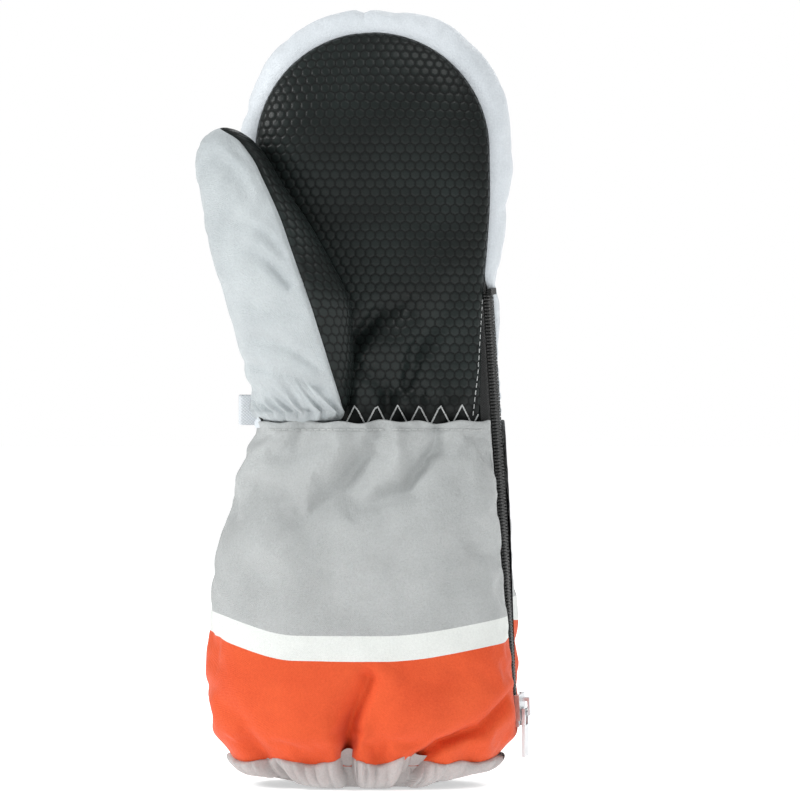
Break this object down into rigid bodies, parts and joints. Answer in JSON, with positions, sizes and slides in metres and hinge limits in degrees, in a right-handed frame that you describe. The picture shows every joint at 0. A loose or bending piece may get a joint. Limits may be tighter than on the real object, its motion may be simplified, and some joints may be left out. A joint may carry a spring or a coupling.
{
  "type": "ski mitten",
  "caption": "Padded child's left ski mitten with a long zipped cuff, gripping palm, side gusset, elasticated wrist and hem, and a wrist loop; fingertip and thumb bend, the zip slides.",
  "frame": {"origin": "middle of the hem ring's lower edge, on the plane that the mitten stands on", "axes": "+Z from the hem to the fingertips, -Y out of the palm, -X towards the thumb side"},
  "size_m": [0.1238, 0.0775, 0.29],
  "materials": {
    "palm_leather": "black coated synthetic leather with a raised honeycomb",
    "light_fabric": "pale grey smooth woven shell fabric",
    "grey_fabric": "mid grey smooth woven shell fabric",
    "white_fabric": "white smooth woven shell fabric",
    "orange_fabric": "orange smooth woven shell fabric",
    "wadding": "soft polyester wadding",
    "lining": "brushed dark lining",
    "elastic": "woven elastic band",
    "zip_fabric": "black woven zip tape",
    "zip_nylon": "black nylon coil",
    "zip_metal": "black painted cast zip hardware",
    "loop_tape": "pale grey woven tape"
  },
  "bodies": {
    "shell": {"hem_binding": "grey_fabric", "hem_facing": "lining", "hem_elastic": "elastic", "cuff_palm_panel": "grey_fabric", "cuff_palm_white_band": "white_fabric", "cuff_palm_orange_band": "orange_fabric", "cuff_back_panel": "grey_fabric", "cuff_back_white_band": "white_fabric", "cuff_back_orange_band": "orange_fabric", "cuff_padding": "wadding", "cuff_lining": "lining", "palm_panel": "palm_leather", "hand_back_panel": "light_fabric", "gusset_thumb_side": "light_fabric", "gusset_outer_side": "light_fabric", "thumb_back_base": "light_fabric", "hand_wadding": "wadding", "hand_lining": "lining", "wrist_elastic": "elastic", "zip_tape_palm": "zip_fabric", "zip_tape_back": "zip_fabric", "zip_coil_palm": "zip_nylon", "zip_coil_back": "zip_nylon", "zip_end_stops": "zip_metal", "zip_finger_stop": "zip_metal", "zip_guard": "lining"},
    "fingertip": {"palm_panel_tip": "palm_leather", "hand_back_tip": "light_fabric", "gusset_thumb_side_tip": "light_fabric", "gusset_outer_side_tip": "light_fabric", "wadding_tip": "wadding", "lining_tip": "lining"},
    "thumb": {"thumb_back_panel": "light_fabric", "thumb_palm_panel": "palm_leather", "thumb_wadding": "wadding", "thumb_lining": "lining"},
    "slider": {"zip_slider": "zip_metal"},
    "pull": {"zip_pull": "zip_metal"},
    "loop": {"wrist_loop": "loop_tape"}
  },
  "joints": [
    {"name": "fingertip_curl", "type": "hinge", "parent": "shell", "child": "fingertip", "pos_m": [0.0056, -0.0251, 0.24765], "axis": [1, 0, 0], "range_deg": [0, 50], "stiffness_Nm_per_rad": 0.08},
    {"name": "thumb_swing", "type": "hinge", "parent": "shell", "child": "thumb", "pos_m": [-0.03689, -0.03248, 0.16515], "axis": [0.6428, -0.766, 0], "range_deg": [0, 30], "stiffness_Nm_per_rad": 0.08},
    {"name": "zip_slide", "type": "slide", "parent": "shell", "child": "slider", "axis": [-0.0659, -0.0691, 0.9954], "range_m": [0, 0.148], "deforming": ["zip_coil_palm", "zip_coil_back"]},
    {"name": "pull_swing", "type": "hinge", "parent": "slider", "child": "pull", "pos_m": [0.06184, 0.00003, 0.02841], "axis": [-0.3091, -0.9471, -0.0862], "range_deg": [0, 150]},
    {"name": "loop_swing", "type": "hinge", "parent": "shell", "child": "loop", "pos_m": [-0.0399, 0.001, 0.1405], "axis": [0, 0, 1], "range_deg": [-45, 45], "stiffness_Nm_per_rad": 0.002}
  ]
}
